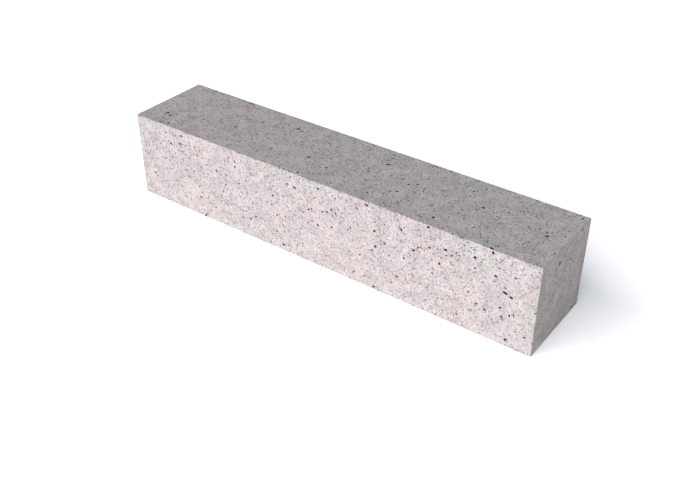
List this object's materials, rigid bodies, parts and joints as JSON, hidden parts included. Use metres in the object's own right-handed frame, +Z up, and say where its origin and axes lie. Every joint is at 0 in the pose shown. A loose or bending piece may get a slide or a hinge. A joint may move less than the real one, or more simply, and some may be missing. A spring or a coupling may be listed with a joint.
{
  "type": "concrete stacking block",
  "caption": "Long solid stacking block of cast concrete with a square section, sharp arrises and six flat faces, for low walls.",
  "frame": {"origin": "middle of the long face that the block lies on", "axes": "+X along the block's length, +Y across it, +Z up from the bed face to the top face"},
  "size_m": [0.6, 0.12, 0.12],
  "materials": {
    "concrete": "fair-faced cast concrete, pale warm grey with a faint pink cast, fine sandy speckle and open air pores"
  },
  "bodies": {
    "root": {"stacking_block": "concrete"}
  },
  "joints": []
}
